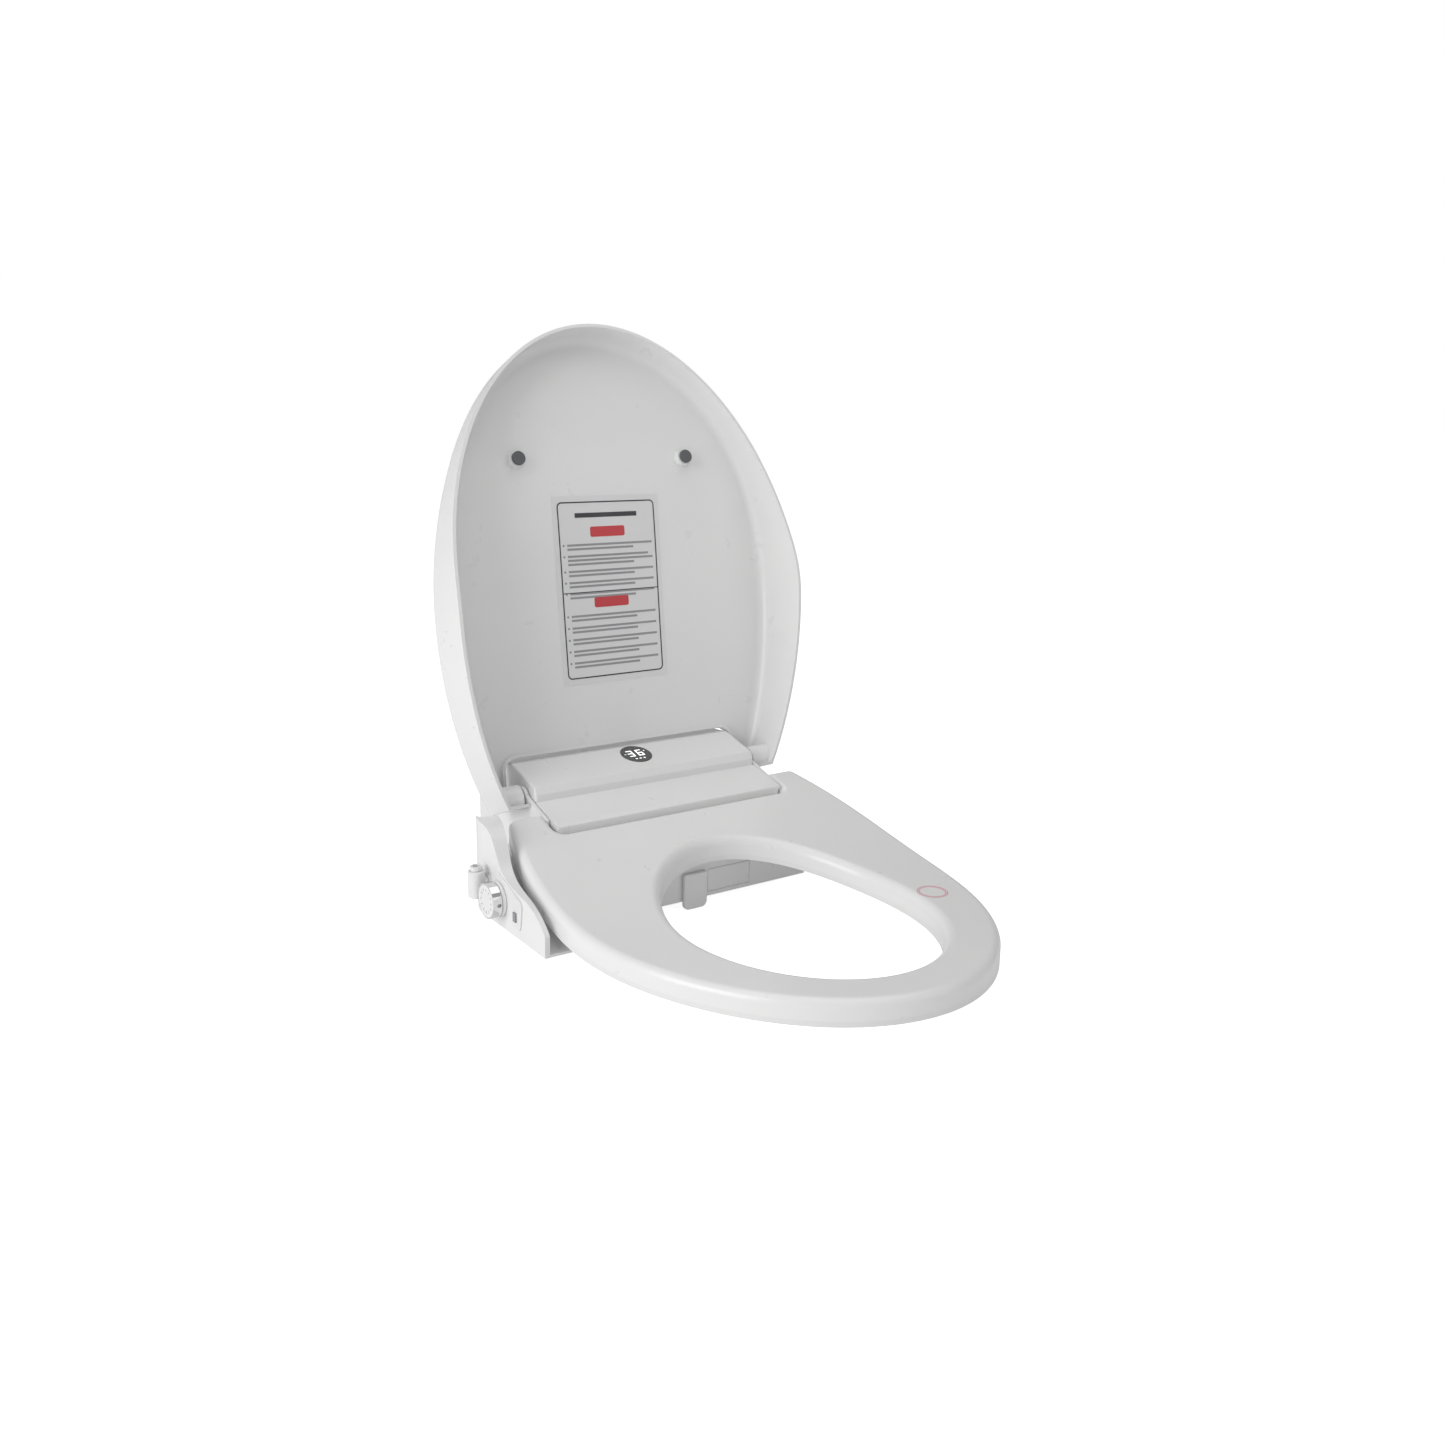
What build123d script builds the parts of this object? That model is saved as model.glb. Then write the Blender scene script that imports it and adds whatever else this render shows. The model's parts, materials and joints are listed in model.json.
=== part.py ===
"""Electric bidet seat: lid, heated seat, wash nozzle, warm air dryer and side controls.

Millimetres. +X is to the right of someone facing the nose of the seat, the nose is at -Y, +Z up.
The origin is the mid-point between the two fixing slots, on the bottom plane of the base.
The seat is down and the lid is open, leaning past vertical: both turn on one hinge line.
"""
from build123d import *
import math
import os

# ---- hinge line, shared by the seat and the lid
hinge_y = -18.0
hinge_z = 80.0
open_tilt = 21.0            # how far the open lid leans past vertical, degrees
shaft_r = 5.0
run_gap = 0.05              # running clearance round a shaft, screw or slide
set_gap = 0.02              # round a shaft that is held fast
barrel_r = 13.0
side_gap = 1.0              # between neighbours along the hinge line
seat_knuckle_r = 11.0
seat_knuckle_wide = 3.5
lid_barrel_inner = 132.0
lid_barrel_outer = 149.0

# ---- seat ring
seat_half = 185.0           # half of the greatest width
wide_y = -190.0             # where the seat and the lid are widest
seat_nose = 259.0           # from there to the nose
seat_rear = 272.0           # the sides follow an ellipse this long
seat_rear_y = -54.0         # where the sides are cut off
seat_low_z = 5.0            # underside at the front
seat_thick = 21.0
seat_cover_thick = 4.5      # bottom cover, below the seam
seat_rise = 0.31            # slope of the rear of the seat
seat_bend_y = -217.0        # where the seat starts to rise
seat_bend_soft = 30.0
seat_wall = 4.0
seat_round = 7.0
seat_corner_round = 8.0     # of the two rear corners, in plan
hole_half = 108.0
hole_length = 266.0
hole_front_y = -406.5
hole_round = 9.0
mat_thick = 0.8
mat_inset = 12.0
sensor_x = 127.0
sensor_y = -302.0
sensor_r = 13.5
foot_r = 7.0
foot_places = [(60.0, -398.0), (150.0, -250.0)]

# ---- housing in the middle, behind the seat
box_half = 125.0
box_front_y = -39.5
box_back_y = 85.0
box_low_z = 30.0
box_seam_z = 87.0
box_top_y = -36.5
box_top_z = 94.0            # top front edge
box_slope = 0.27            # slope of the top, up towards the back
box_crest_y = 8.0
box_back_top_z = 98.0
slope_front_y = -84.0       # front of the sloping cover
slope_bevel_y = -78.0
slope_low_z = 69.0
slope_bevel_z = 71.2
slope_high_z = 80.5
wall = 3.0
notch_gap = 2.5             # between the sloping cover and the seat
edge_round = 2.0

# ---- tub under the housing
tub_half = 148.0
tub_front_y = -118.0
tub_wide_back_y = -24.0
floor_z = 5.0
chin_low_z = -14.0          # the front dips into the bowl
chin_back_y = -66.0
chin_half = 132.0
foot_pad_r = 7.0

# ---- mounting plate
plate_half_x = 98.0
plate_half_y = 42.0
plate_thick = 4.6
slot_spacing = 150.0
slot_length = 30.0
slot_r = 5.0

# ---- lid, drawn closed
lid_half = 190.5
lid_nose = 265.0
lid_rear = 300.0
lid_rear_y = -8.0
lid_wall = 3.0
lid_round = 12.0
lid_rim_z = 2.0
lid_rim_rise = 0.17
lid_rim_drop = 3.2
lid_bend_y = -198.0         # where the rim starts to rise
lid_bend_soft = 40.0
lid_notch_half = 130.5
lid_notch_y = -57.0
lid_notch_round = 12.0
lip_high = 4.0
lip_thick = 3.0
bumper_x = 94.0
bumper_s = 312.0            # distance from the hinge line
bumper_r = 6.5
bumper_thick = 3.0
bumper_gap = 0.4
boss_top_z = 41.0           # inside the lid's skin
boss_r = 8.5
label_half = 60.0
label_low_s = 100.0
label_high_s = 278.0
label_thick = 0.4

# ---- side wing with the controls, on the -X side
wing_x = -197.0
wing_front_y = -193.0
wing_wall = 2.5
wing_gap = 2.0              # to the closed lid
wing_curve_y = -78.0       # the outer wall turns in from here
wing_back_y = -28.0
panel_thick = 1.2
knob_y = -112.0
knob_z = 26.0
knob_r = 15.5
knob_length = 12.0
knob_gap = 0.5
knob_shaft_r = 3.0
encoder_half = 8.0
encoder_deep = 4.5
button_y = -142.0
button_z = 19.0
button_wide = 5.0
button_high = 8.0
button_travel = 1.0
inlet_x = -208.0
inlet_y = -88.0
inlet_r = 7.5
inlet_low_z = 22.0
inlet_high_z = 50.0
union_z = 34.0
union_r = 4.5
hose_bore_r = 3.2
hose_bore_depth = 16.0
collar_r = 5.5
collar_thick = 3.0
collar_travel = 1.2

# ---- wash nozzle, sliding forwards and down
nozzle_x = -1.0
nozzle_angle = 25.0
nozzle_r = 6.5
nozzle_length = 156.0
nozzle_tip_length = 22.0
tip_y = -119.0
tip_z = -3.0
tip_start = 4.5             # the tip piece begins this far behind the cover
cover_half = 13.0
cover_low_z = -22.0
cover_high_z = 13.0
cover_thick = 3.5
guide_r = 9.5
guide_span = (8.0, 46.0)
rack_span = (52.0, 152.0)
rack_half = 2.5
rack_root = 7.5             # above the nozzle's axis
tooth_module = 1.0
tooth_play = 0.2
pinion_teeth = 12
pinion_place = 58.0         # behind the tip, along the nozzle
pinion_shaft_r = 1.5
motor_r = 7.8
motor_length = 26.0

# ---- warm air dryer
dryer_x = (15.0, 64.0)
dryer_low_z = -10.0
dryer_high_z = 13.0
flap_thick = 2.0
flap_gap = 0.4
flap_pin_r = 1.0
duct_wall = 1.5
fan_x = (24.0, 56.0)
fan_y = 28.0
fan_z = 55.0
fan_r = 26.0
fan_gap = 1.5
fan_wall = 2.0
fan_blades = 18
fan_hub_r = 7.0
fan_shaft_r = 2.0
fan_outlet_z = (29.5, 39.0)

# ---- display
display_x = 3.0
display_y = -8.0
display_r = 16.0
display_thick = 2.0
display_proud = 0.3

# ---- pieces inside the housing
tank_x = (-112.0, -52.0)
tank_y = (-8.0, 70.0)
tank_z = (12.0, 72.0)
valve_x = (-112.0, -84.0)
valve_y = (-66.0, -30.0)
pump_x = (-78.0, -48.0)
board_x = (-40.0, 16.0)
board_y = (14.0, 74.0)
board_thick = 1.6
post_high = 3.0
gland_x = 100.0
gland_z = 22.0
gland_r = 8.0
gland_length = 14.0
gland_bore_r = 3.5
gland_bore_depth = 12.0
latch_y = 26.0
latch_z = 14.0
latch_half = 6.0
latch_travel = 2.5
drain_x = -95.0
drain_z = 18.0
screw_r = 1.8
screw_head_r = 3.4


def block(x, y, z):
    """A box between a low and a high limit on each axis."""
    size = [high - low for low, high in (x, y, z)]
    middle = [(low + high) / 2 for low, high in (x, y, z)]
    return Pos(*middle) * Box(*size)


def rod_x(x, y, z, radius):
    """A rod along X between two limits."""
    return Pos((x[0] + x[1]) / 2, y, z) * Rot(0, 90, 0) * Cylinder(radius, abs(x[1] - x[0]))


def rod_y(y, x, z, radius):
    """A rod along Y between two limits."""
    return Pos(x, (y[0] + y[1]) / 2, z) * Rot(90, 0, 0) * Cylinder(radius, abs(y[1] - y[0]))


def rod_z(x, y, z, radius):
    """A rod along Z between two limits."""
    return Pos(x, y, (z[0] + z[1]) / 2) * Cylinder(radius, abs(z[1] - z[0]))


def two_sides(x):
    """A name and a span of X for each side of the middle plane."""
    return (("right", x), ("left", (-x[1], -x[0])))


def side_prism(points, x):
    """A polygon of (y, z) points, extruded between two values of X."""
    outline = Polyline(*[(x[0], y, z) for y, z in points], close=True)
    return extrude(make_face(outline), amount=x[1] - x[0], dir=(1, 0, 0))


def between_curves(low, high, half_x):
    """The space between two (y, z) spline curves, from -half_x to half_x."""
    top = Spline(*[(-half_x, y, z) for y, z in high])
    bottom = Spline(*[(-half_x, y, z) for y, z in low])
    front = Line(top @ 0, bottom @ 0)
    back = Line(top @ 1, bottom @ 1)
    return extrude(make_face([top, back, bottom, front]), amount=2 * half_x, dir=(1, 0, 0))


def egg(half, nose, rear, rear_y):
    """Plan outline: half an ellipse in front and the middle of a longer one behind it."""
    reach = half + 10
    front = Ellipse(half, nose) & Pos(0, -nose / 2) * Rectangle(2 * reach, nose)
    back_length = rear_y - wide_y
    back = Ellipse(half, rear) & Pos(0, back_length / 2) * Rectangle(2 * reach, back_length)
    return Pos(0, wide_y) * (front + back)


def export(node, shape):
    """Write one node."""
    shape.label = node
    export_step(shape, f"parts/{node}.step")


# ======================================================================= seat
def seat_top(y):
    """Height of the seat's top surface: flat in front, rising at the back."""
    bend = seat_bend_soft * math.log1p(math.exp((y - seat_bend_y) / seat_bend_soft))
    return seat_low_z + seat_thick + seat_rise * bend


def seat_curve(drop):
    """The seat's top surface in side view, lowered by drop."""
    stations = [-480, -420, -360, -300, -260, -220, -180, -140, -100, -60, -20]
    return [(y, seat_top(y) - drop) for y in stations]


def seat_outline(inset):
    plan = egg(seat_half - inset, seat_nose - inset, seat_rear - inset, seat_rear_y - inset)
    return fillet(plan.vertices().sort_by(Axis.Y)[-2:], seat_corner_round)


def seat_hole(grow):
    centre_y = hole_front_y + hole_length / 2
    return Pos(0, centre_y) * Ellipse(hole_half + grow, hole_length / 2 + grow)


def seat_notch(grow):
    half = box_half + notch_gap + grow
    length = 200
    front_y = slope_front_y - notch_gap - grow
    return Pos(0, front_y + length / 2) * RectangleRounded(2 * half, length, 9)


def seat_plan(inset):
    return seat_outline(inset) - seat_hole(inset) - seat_notch(inset)


def seat_layer(top_drop, low_drop, inset):
    """The ring between two depths below its top surface, drawn in from every wall by inset."""
    prism = extrude(Pos(0, 0, -40) * seat_plan(inset), amount=220)
    return prism & between_curves(seat_curve(low_drop), seat_curve(top_drop), seat_half + 20)


def seat_arms():
    """Arms from the back of the ring to the hinge line, each with a knuckle."""
    inner = box_half + side_gap
    arms = []
    for _, x in two_sides((inner, inner + seat_knuckle_wide)):
        low_z = seat_top(seat_rear_y) - seat_thick + seat_cover_thick + 0.5
        web = side_prism([(seat_rear_y - 14, low_z), (hinge_y, hinge_z - seat_knuckle_r),
                          (hinge_y, hinge_z + seat_knuckle_r), (hinge_y - 14, hinge_z + 3),
                          (seat_rear_y - 14, seat_top(seat_rear_y - 14) - 1)], x)
        arm = web + rod_x(x, hinge_y, hinge_z, seat_knuckle_r)
        arms.append(arm - rod_x(x, hinge_y, hinge_z, shaft_r + run_gap))
    return arms


def biggest_up_face(shape):
    """The shape's largest face that looks up."""
    return max([face for face in shape.faces() if face.normal_at().Z > 0.7], key=lambda face: face.area)


def seat_parts():
    seam_drop = seat_thick - seat_cover_thick
    shell = seat_layer(0, seam_drop, 0)
    top_edges = biggest_up_face(shell).outer_wire().edges()
    shell = fillet(top_edges, seat_round)
    top_edges = biggest_up_face(shell).inner_wires()[0].edges()
    shell = fillet(top_edges, hole_round)
    shell -= seat_layer(seat_wall, seam_drop + 1, seat_wall)
    for arm in seat_arms():
        shell += arm
    cover = seat_layer(seam_drop, seat_thick, 0)
    export("seat_top_shell", shell)
    export("seat_bottom_cover", cover)
    export("seat_heater_mat", seat_layer(seat_wall, seat_wall + mat_thick, mat_inset))
    pad_top = seat_top(sensor_y) - seat_wall - mat_thick
    export("seat_sensor", rod_z(sensor_x, sensor_y, (pad_top - 3.6, pad_top - 0.6), sensor_r))
    below = between_curves(seat_curve(seat_thick + 60), seat_curve(seat_thick), seat_half)
    for place, (x, y) in zip(("front", "rear"), foot_places):
        for side, foot_x in (("right", x), ("left", -x)):
            foot = rod_z(foot_x, y, (0, seat_top(y)), foot_r) & below
            export(f"seat_foot_{place}_{side}", foot)


# ======================================================================== lid
def lid_rim(y):
    """Height of the closed lid's rim: flat in front, rising at the back."""
    t = y - lid_bend_y
    return max(lid_rim_z, lid_rim_rise * (t + math.hypot(t, lid_bend_soft)) - lid_rim_drop)


def lid_rim_curve(drop):
    """The closed lid's rim in side view, lowered by drop."""
    stations = [-500, -400, -300, -240, -200, -160, -120, -80, -40, 10, 60]
    return [(y, lid_rim(y) - drop) for y in stations]


def lid_panel_curve(drop):
    """The closed lid's outer surface in side view, lowered by drop."""
    points = [(-500, 34.2), (-395, 34.6), (-340, 37.8), (-290, 46.6), (-200, 68.9), (-100, 93.7), (-20, 113.6),
              (60, 133.4)]
    return [(y, z - drop) for y, z in points]


def lid_outline(inset):
    return egg(lid_half - inset, lid_nose - inset, lid_rear - inset, lid_rear_y - inset)


def lid_prism(inset):
    return extrude(Pos(0, 0, -40) * lid_outline(inset), amount=220)


def lid_notch(grow):
    """The notch round the housing, from its front edge to behind the lid."""
    half = lid_notch_half + grow
    length = 150
    front_y = lid_notch_y - grow
    plan = Pos(0, front_y + length / 2) * RectangleRounded(2 * half, length, lid_notch_round + grow)
    return extrude(plan, amount=200)


def opened(shape):
    """A piece of the closed lid, turned up to where the lid rests open."""
    return shape.rotate(Axis((0, hinge_y, hinge_z), (-1, 0, 0)), 90 + open_tilt)


def lid_barrels():
    outside = lid_prism(0)
    barrels = []
    for _, x in two_sides((lid_barrel_inner, lid_half)):
        barrels.append(rod_x(x, hinge_y, hinge_z, barrel_r) & outside)
    return barrels


def lid_parts():
    outer = lid_prism(0) & between_curves(lid_rim_curve(0), lid_panel_curve(0), lid_half + 20)
    top_edges = biggest_up_face(outer).outer_wire().edges().sort_by(Axis.Y)[:-1]
    outer = fillet(top_edges, lid_round)
    inner = lid_prism(lid_wall) & between_curves(lid_rim_curve(30), lid_panel_curve(lid_wall), lid_half + 20)
    inner = fillet(biggest_up_face(inner).outer_wire().edges().sort_by(Axis.Y)[:-1], lid_round - lid_wall)
    shell = outer - inner
    lip = (lid_notch(lip_thick) - lid_notch(0)) & inner
    lip &= between_curves(lid_panel_curve(lid_wall + lip_high), lid_panel_curve(0), lid_notch_half + 20)
    shell = shell + lip - lid_notch(0)
    for barrel in lid_barrels():
        shell += barrel
    for _, x in two_sides((lid_barrel_inner - 5, lid_barrel_outer)):
        shell -= rod_x(x, hinge_y, hinge_z, shaft_r + run_gap)
    bumper_y = hinge_y - bumper_s
    rubber_z = seat_top(bumper_y) + bumper_gap
    under_panel = lid_prism(lid_wall) & between_curves(lid_rim_curve(30), lid_panel_curve(0), lid_half)
    for name, x in (("right", bumper_x), ("left", -bumper_x)):
        boss = rod_z(x, bumper_y, (rubber_z + bumper_thick, boss_top_z), boss_r)
        shell += boss & under_panel
        export(f"lid_bumper_{name}", opened(rod_z(x, bumper_y, (rubber_z, rubber_z + bumper_thick), bumper_r)))
    label = block((-label_half, label_half), (hinge_y - label_high_s, hinge_y - label_low_s), (0, 150))
    label &= between_curves(lid_panel_curve(lid_wall + label_thick), lid_panel_curve(lid_wall), lid_half)
    export("lid_shell", opened(shell))
    export("lid_label", opened(label))


# ======================================================================= base
def tub_plan(inset):
    """The tub's plan: wide in front, as wide as the housing behind."""
    wide = tub_half - inset
    narrow = box_half - inset
    points = [(-wide, tub_front_y + inset), (wide, tub_front_y + inset), (wide, tub_wide_back_y - inset),
              (narrow, tub_wide_back_y - inset), (narrow, box_back_y - inset), (-narrow, box_back_y - inset),
              (-narrow, tub_wide_back_y - inset), (-wide, tub_wide_back_y - inset)]
    return make_face(Polyline(*points, close=True))


def wing_body(inset):
    """The side wing, drawn in from every wall by inset, and clear of the closed lid."""
    outer_x = wing_x + inset
    inner_x = -tub_half + wall - 0.5
    front = wing_front_y + inset
    corner = (inner_x, wing_back_y - inset)
    turn = Spline((outer_x, wing_curve_y), corner, tangents=[(0, 1), (1, 0.2)])
    sides = Polyline(corner, (inner_x, front), (outer_x, front), (outer_x, wing_curve_y))
    plan = extrude(make_face([turn, *sides.edges()]), amount=100, dir=(0, 0, 1))
    top = Spline((0, wing_front_y, 19 - inset), (0, -160, 38 - inset), (0, -114, 52 - inset), (0, -92, 79 - inset),
                 (0, -72, 84 - inset), (0, wing_back_y, 74 - inset))
    side = Polyline(top @ 1, (0, wing_back_y, inset), (0, wing_front_y, inset), top @ 0)
    profile = extrude(make_face([top, *side.edges()]), amount=210, dir=(-1, 0, 0))
    lid_space = extrude(Pos(0, 0, -20) * lid_outline(-wing_gap - inset), amount=220)
    lid_space &= between_curves(lid_rim_curve(wing_gap + inset), lid_rim_curve(-150), lid_half + 30)
    lid_space += block((-lid_half, 0), (-62 - inset, 0), (lid_rim(-62) - wing_gap - inset, 200))
    return (plan & profile) - lid_space


def at_nozzle(shape, along, above):
    """Place a shape drawn at the origin: along the nozzle behind its tip, and above its axis."""
    return Pos(nozzle_x, tip_y, tip_z) * Rot(nozzle_angle, 0, 0) * Pos(0, along, above) * shape


def nozzle_rod(span, radius):
    length = span[1] - span[0]
    return at_nozzle(Rot(90, 0, 0) * Cylinder(radius, length), (span[0] + span[1]) / 2, 0)


def base_shell():
    shell = extrude(tub_plan(0), amount=box_low_z, dir=(0, 0, 1))
    shell = fillet(shell.edges().filter_by(Axis.Z), 4)
    shell += block((-chin_half, chin_half), (tub_front_y, chin_back_y), (chin_low_z, floor_z))
    shell += wing_body(0)
    shell -= Pos(0, 0, floor_z + wall) * extrude(tub_plan(wall), amount=box_low_z - floor_z - 2 * wall, dir=(0, 0, 1))
    hall = (box_half - wall, -box_half + wall)
    shell -= block(hall[::-1], (slope_front_y + wall, box_back_y - wall), (floor_z + wall, box_low_z + 1))
    shell -= block((-chin_half + wall, chin_half - wall), (tub_front_y + wall, chin_back_y - wall),
                   (chin_low_z + wall, floor_z + wall + 1))
    shell -= block(hall[::-1], (chin_back_y + wall, box_back_y - wall), (-1, floor_z))
    shell -= wing_body(wing_wall)
    shell -= block((-tub_half - 1, -tub_half + wall + 1), (-112, -64), (10, 24))
    shell -= nozzle_rod((-20, 20), guide_r + 0.5)
    shell -= block((nozzle_x - 4, nozzle_x + 4), (tub_front_y - 1, tub_front_y + wall + 1), (tip_z, 10))
    shell -= block(dryer_x, (tub_front_y - 1, tub_front_y + wall + 1), (dryer_low_z, dryer_high_z))
    shell -= rod_x((dryer_x[0] - 3, dryer_x[1] + 3), *flap_axis(), flap_pin_r + run_gap)
    shell -= rod_x((wing_x - 1, wing_x + wing_wall + 1), knob_y, knob_z, knob_shaft_r + run_gap)
    shell -= button_solid(0.3, -3)
    shell -= rod_x((wing_x - 1, wing_x + wing_wall + 1), inlet_y, union_z, union_r + set_gap)
    shell -= block((box_half - wall - 1, box_half + 1), (latch_y - latch_half - run_gap, latch_y + latch_half + run_gap),
                   (latch_z - 4 - run_gap, latch_z + 4 + run_gap))
    shell -= rod_y((box_back_y - wall - 1, box_back_y + 1), drain_x, drain_z, 5)
    shell -= rod_y((box_back_y - wall - 1, box_back_y + 1), gland_x, gland_z, gland_r - 1.5 + set_gap)
    return shell


def base_parts():
    plate = block((-plate_half_x, plate_half_x), (-plate_half_y, plate_half_y), (0, plate_thick))
    plate = fillet(plate.edges().filter_by(Axis.Z), 10)
    for x in (-slot_spacing / 2, slot_spacing / 2):
        slot = Pos(x, 0, -1) * extrude(SlotOverall(slot_length, 2 * slot_r), amount=plate_thick + 2)
        plate -= slot
    export("mounting_plate", plate)
    export("base_shell", base_shell())
    for side, x in (("right", 112), ("left", -112)):
        export(f"foot_pad_{side}", rod_z(x, -46, (0, floor_z), foot_pad_r))
    drain = rod_y((box_back_y - wall, box_back_y + 2), drain_x, drain_z, 5 - set_gap)
    drain += rod_y((box_back_y, box_back_y + 4), drain_x, drain_z, 8)
    drain -= block((drain_x - 6, drain_x + 6), (box_back_y + 2.5, box_back_y + 5), (drain_z - 1, drain_z + 1))
    export("drain_plug", drain)
    gland = rod_y((box_back_y - wall, box_back_y + 1), gland_x, gland_z, gland_r - 1.5)
    cone = Rot(-90, 0, 0) * Cone(gland_r, gland_r - 2.5, gland_length)
    gland += Pos(gland_x, box_back_y + gland_length / 2, gland_z) * cone
    gland -= rod_y((box_back_y + gland_length - gland_bore_depth, box_back_y + gland_length + 1), gland_x, gland_z,
                   gland_bore_r)
    export("power_gland", gland)


# ==================================================================== housing
def box_profile(inset, low_z):
    """Side view of the housing below its seam, open at the seam."""
    rise = (slope_high_z - slope_low_z) / (box_front_y - slope_front_y)
    drop = wall + inset * 1.03
    back = box_back_y - inset
    seam = box_seam_z if inset == 0 else box_seam_z + 1
    return [(slope_front_y + inset, low_z), (slope_front_y + inset, slope_low_z - drop + rise * inset),
            (box_front_y + inset, slope_high_z - drop + rise * inset), (box_front_y + inset, seam), (back, seam),
            (back, low_z)]


def top_profile(inset):
    """Side view of the top cover, above the seam."""
    low = box_seam_z if inset == 0 else box_seam_z - 1
    crest_z = box_top_z + box_slope * (box_crest_y - box_top_y)
    return [(box_front_y + inset, low), (box_top_y + inset * 0.8, box_top_z - inset), (box_crest_y, crest_z - inset),
            (box_crest_y + 22, crest_z - 1.5 - inset), (box_back_y - 12, box_back_top_z - inset),
            (box_back_y - inset, box_back_top_z - 10 - inset), (box_back_y - inset, low)]


def display_frame(shape):
    """Place a shape drawn at the origin on the sloping top, over the display."""
    z = box_top_z + box_slope * (display_y - box_top_y)
    return Pos(display_x, display_y, z) * Rot(math.degrees(math.atan(box_slope)), 0, 0) * shape


def housing_parts():
    span = (-box_half, box_half)
    hall = (-box_half + wall, box_half - wall)
    body = side_prism(box_profile(0, box_low_z), span)
    corners = body.edges().filter_by(Axis.Z)
    body = fillet(corners, 3)
    body -= side_prism(box_profile(wall, box_low_z - 1), hall)
    for _, x in two_sides((box_half - wall - 1, box_half + 1)):
        body -= rod_x(x, hinge_y, hinge_z, shaft_r + set_gap)
    export("housing_body", body)

    cover = side_prism(top_profile(0), span)
    rims = [edge for face in (cover.faces().sort_by(Axis.X)[0], cover.faces().sort_by(Axis.X)[-1])
            for edge in face.edges() if edge.center().Z > box_seam_z + 0.1]
    cover = fillet(rims, edge_round)
    cover -= side_prism(top_profile(wall), hall)
    cover -= display_frame(Cylinder(display_r + 0.1, 2 * (display_thick - display_proud)))
    export("top_cover", cover)

    slope = side_prism([(slope_front_y, slope_low_z - wall), (slope_front_y, slope_low_z),
                        (slope_bevel_y, slope_bevel_z), (box_front_y, slope_high_z),
                        (box_front_y, slope_high_z - wall)], span)
    slope = fillet(slope.edges().filter_by(Axis.X).group_by(Axis.Y)[0].sort_by(Axis.Z)[-1:], 1.5)
    export("slope_cover", slope)

    lens = Pos(0, 0, display_proud - display_thick / 2) * Cylinder(display_r, display_thick)
    export("display_lens", display_frame(lens))
    board_z = -wall - 1.7
    export("display_board", display_frame(Pos(0, 0, board_z - 0.4) * Box(58, 24, 1.6)
                                          + Pos(0, 0, board_z + 0.8) * Box(24, 14, 0.8)))
    for side, x in two_sides((box_half - wall - 8, lid_barrel_outer - 1)):
        export(f"hinge_shaft_{side}", rod_x(x, hinge_y, hinge_z, shaft_r))
    for side, x in two_sides((box_half - wall - 34, box_half - wall)):
        bore = (x[0] - 1, x[1] + 1)
        damper = rod_x(x, hinge_y, hinge_z, 9.0) - rod_x(bore, hinge_y, hinge_z, shaft_r + set_gap)
        export(f"hinge_damper_{side}", damper)


# =================================================================== controls
def button_solid(grow, deeper):
    x = (wing_x - panel_thick - 1.2, wing_x + wing_wall - 0.4 - deeper)
    half_y = button_wide / 2 + grow
    half_z = button_high / 2 + grow
    return block(x, (button_y - half_y, button_y + half_y), (button_z - half_z, button_z + half_z))


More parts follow.
